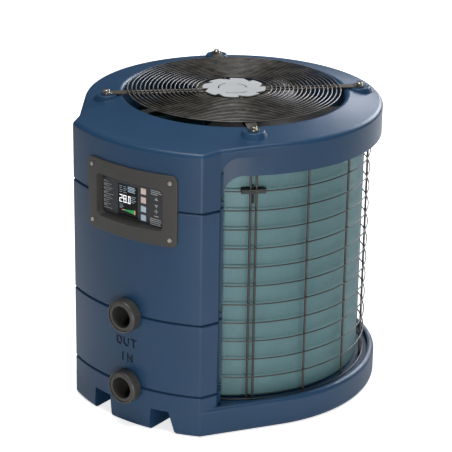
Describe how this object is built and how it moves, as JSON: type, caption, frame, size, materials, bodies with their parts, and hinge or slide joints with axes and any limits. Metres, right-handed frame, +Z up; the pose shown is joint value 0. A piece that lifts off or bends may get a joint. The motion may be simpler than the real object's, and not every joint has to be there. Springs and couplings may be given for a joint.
{
  "type": "pool heat pump unit",
  "caption": "Round vertical-discharge pool heat pump with a curved front, top fan guard, wrap-round coil behind a wire guard, control panel and two water unions.",
  "frame": {"origin": "on the fan axis, in the plane the unit stands on", "axes": "+Z up along the fan axis, the control panel and water unions face -Y, +X to the right when seen from the front"},
  "size_m": [0.68, 0.7559, 0.6904],
  "materials": {
    "moulded_casing": "satin injection-moulded ABS",
    "bezel_plastic": "fine-grained moulded",
    "window_plastic": "smooth",
    "lcd_glass": "gloss",
    "circuit_board": "solder mask",
    "black_plastic": "moulded",
    "key_rose": "smooth",
    "key_blue": "smooth",
    "union_plastic": "satin moulded PVC",
    "coated_wire": "satin powder coat",
    "coated_steel": "satin powder coat",
    "plated_fasteners": "zinc plated",
    "brass_inserts": "machined",
    "copper_tube": "drawn",
    "pressed_aluminium": "satin pressed sheet",
    "motor_casting": "die cast",
    "fan_plastic": "moulded, glass filled",
    "coil_fins": "hydrophilic coated fins",
    "galvanised_sheet": "galvanised",
    "gasket_rubber": "matt",
    "black_enamel": "gloss enamel"
  },
  "bodies": {
    "casing": {"base_tray": "moulded_casing", "lower_front_panel": "moulded_casing", "upper_front_panel": "moulded_casing", "top_cowl": "moulded_casing", "bezel_gasket": "gasket_rubber", "control_bezel": "bezel_plastic", "display_window": "window_plastic", "lcd_module": "lcd_glass", "controller_pcb": "circuit_board", "display_housing": "black_plastic", "bezel_screws": "plated_fasteners", "inlet_tailpiece": "union_plastic", "outlet_tailpiece": "union_plastic", "guard_rings": "coated_wire", "guard_arms": "coated_wire", "guard_bolts": "plated_fasteners", "guard_washers": "plated_fasteners", "guard_inserts": "brass_inserts", "hub_plate": "pressed_aluminium", "motor_mount": "coated_steel", "fan_motor": "motor_casting", "rotor_clip": "plated_fasteners", "evaporator_coil": "coil_fins", "coil_feet": "gasket_rubber", "coil_end_plates": "galvanised_sheet", "coil_bends": "copper_tube", "coil_posts": "coated_steel", "cage_rings": "coated_wire", "cage_rods": "coated_wire", "sensor_clip": "black_plastic", "air_sensor": "copper_tube", "exchanger_vessel": "black_plastic", "exchanger_lid": "black_plastic", "compressor": "black_enamel", "compressor_grommets": "gasket_rubber", "accumulator": "black_enamel", "four_way_valve": "brass_inserts", "discharge_pipe": "copper_tube", "suction_pipe": "copper_tube", "condenser_pipe": "copper_tube", "evaporator_pipe": "copper_tube", "header_pipe": "copper_tube", "filter_drier": "copper_tube", "liquid_pipe": "copper_tube", "expansion_valve": "brass_inserts", "distributor_pipe": "copper_tube", "bulkhead": "galvanised_sheet", "electrical_box": "galvanised_sheet", "electrical_cover": "galvanised_sheet", "power_pcb": "circuit_board", "terminal_block": "window_plastic", "cable_gland": "black_plastic", "drain_spout": "black_plastic"},
    "fan": {"fan_rotor": "fan_plastic"},
    "top_key": {"key_1": "key_rose"},
    "upper_key": {"key_2": "key_rose"},
    "lower_key": {"key_3": "key_blue"},
    "bottom_key": {"key_4": "key_blue"},
    "inlet_nut": {"inlet_union_nut": "union_plastic"},
    "outlet_nut": {"outlet_union_nut": "union_plastic"}
  },
  "joints": [
    {"name": "fan_spin", "type": "hinge", "parent": "casing", "child": "fan", "pos_m": [0, 0, 0.634], "axis": [0, 0, 1], "continuous": true},
    {"name": "key_1_press", "type": "slide", "parent": "casing", "child": "top_key", "axis": [0, 1, 0], "range_m": [0, 0.0006], "stiffness_N_per_m": 400},
    {"name": "key_2_press", "type": "slide", "parent": "casing", "child": "upper_key", "axis": [0, 1, 0], "range_m": [0, 0.0006], "stiffness_N_per_m": 400},
    {"name": "key_3_press", "type": "slide", "parent": "casing", "child": "lower_key", "axis": [0, 1, 0], "range_m": [0, 0.0006], "stiffness_N_per_m": 400},
    {"name": "key_4_press", "type": "slide", "parent": "casing", "child": "bottom_key", "axis": [0, 1, 0], "range_m": [0, 0.0006], "stiffness_N_per_m": 400},
    {"name": "inlet_nut_turn", "type": "hinge", "parent": "casing", "child": "inlet_nut", "pos_m": [0.011, -0.404, 0.0974], "axis": [0, 1, 0], "continuous": true},
    {"name": "outlet_nut_turn", "type": "hinge", "parent": "casing", "child": "outlet_nut", "pos_m": [0.011, -0.404, 0.268], "axis": [0, 1, 0], "continuous": true}
  ]
}
